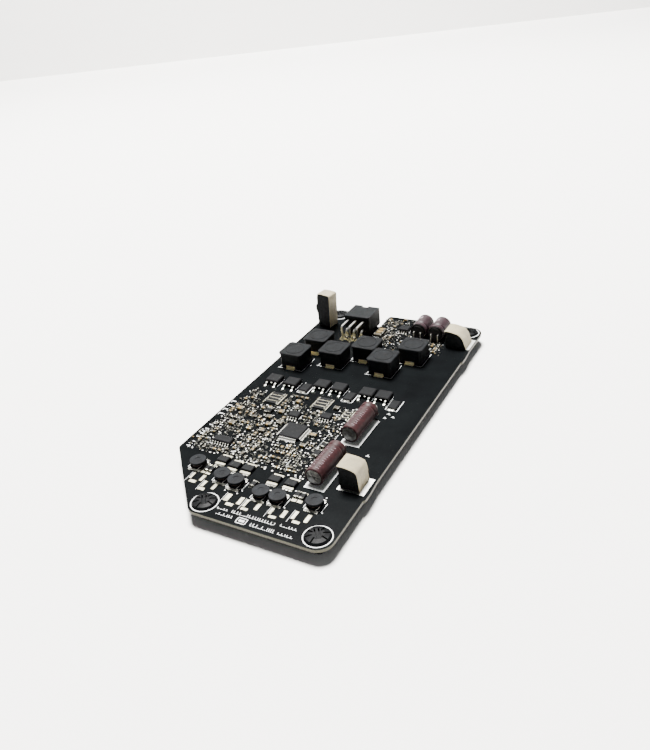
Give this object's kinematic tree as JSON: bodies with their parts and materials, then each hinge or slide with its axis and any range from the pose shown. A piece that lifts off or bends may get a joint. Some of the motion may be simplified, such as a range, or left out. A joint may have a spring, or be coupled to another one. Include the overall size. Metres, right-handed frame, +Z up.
{
  "type": "power driver circuit board",
  "caption": "Flat populated driver board with shielded inductors, lying capacitors, a power header, snap-in corner feet and sprung foam gaskets.",
  "frame": {"origin": "centre of the overall footprint at the underside of the corner feet", "axes": "+X to the right, +Y along the board towards the power header, +Z up out of the component side"},
  "size_m": [0.0866, 0.1694, 0.0242],
  "materials": {
    "solder_mask": "satin",
    "tinned_metal": "satin",
    "bush_nylon": "satin",
    "header_nylon": "satin",
    "ferrite": "matte",
    "gold_terminal": "satin",
    "mould_compound": "matte",
    "can_aluminium": "satin",
    "sleeve_film": "satin",
    "bung_rubber": "matte",
    "chip_ceramic": "satin",
    "gasket_foam": "matte",
    "gasket_jacket": "woven"
  },
  "bodies": {
    "board_assembly": {"circuit_board": "solder_mask", "gasket_lands": "tinned_metal", "bush_front_left": "bush_nylon", "bush_front_right": "bush_nylon", "bush_rear_right": "bush_nylon", "bush_rear_left": "bush_nylon", "header_housing": "header_nylon", "header_pins_upper": "tinned_metal", "header_pins_lower": "tinned_metal", "inductor_1": "ferrite", "inductor_2": "ferrite", "inductor_3": "ferrite", "inductor_4": "ferrite", "inductor_5": "ferrite", "inductor_6": "ferrite", "inductor_terminals": "gold_terminal", "transistor_1": "mould_compound", "transistor_2": "mould_compound", "transistor_3": "mould_compound", "transistor_4": "mould_compound", "transistor_5": "mould_compound", "transistor_6": "mould_compound", "transistor_leads": "tinned_metal", "transistor_tabs": "tinned_metal", "diode_1": "mould_compound", "diode_2": "mould_compound", "diode_3": "mould_compound", "diode_terminals": "tinned_metal", "capacitor_can_1": "can_aluminium", "capacitor_can_2": "can_aluminium", "capacitor_can_3": "can_aluminium", "capacitor_can_4": "can_aluminium", "capacitor_sleeve_1": "sleeve_film", "capacitor_sleeve_2": "sleeve_film", "capacitor_sleeve_3": "sleeve_film", "capacitor_sleeve_4": "sleeve_film", "capacitor_bungs": "bung_rubber", "capacitor_leads": "tinned_metal", "drum_inductor_1": "ferrite", "drum_inductor_2": "ferrite", "drum_inductor_3": "ferrite", "drum_inductor_4": "ferrite", "drum_inductor_5": "ferrite", "drum_inductor_6": "ferrite", "drum_terminals": "tinned_metal", "filter_blocks": "mould_compound", "filter_terminals": "tinned_metal", "controller_ic": "mould_compound", "small_ics": "mould_compound", "ic_leads": "tinned_metal", "chip_resistors": "mould_compound", "chip_capacitors": "chip_ceramic", "chip_ends": "tinned_metal"},
    "front_gasket": {"foam_front": "gasket_foam", "jacket_front": "gasket_jacket"},
    "rear_gasket": {"foam_rear": "gasket_foam", "jacket_rear": "gasket_jacket"},
    "tall_gasket": {"foam_tall": "gasket_foam", "jacket_tall": "gasket_jacket"}
  },
  "joints": [
    {"name": "front_gasket_press", "type": "slide", "parent": "board_assembly", "child": "front_gasket", "axis": [0, 0, -1], "range_m": [0, 0.0028], "stiffness_N_per_m": 1500, "deforming": ["foam_front", "jacket_front"]},
    {"name": "rear_gasket_press", "type": "slide", "parent": "board_assembly", "child": "rear_gasket", "axis": [0, 0, -1], "range_m": [0, 0.0024], "stiffness_N_per_m": 1500, "deforming": ["foam_rear", "jacket_rear"]},
    {"name": "tall_gasket_press", "type": "slide", "parent": "board_assembly", "child": "tall_gasket", "axis": [0, 0, -1], "range_m": [0, 0.0055], "stiffness_N_per_m": 800, "deforming": ["foam_tall", "jacket_tall"]}
  ]
}
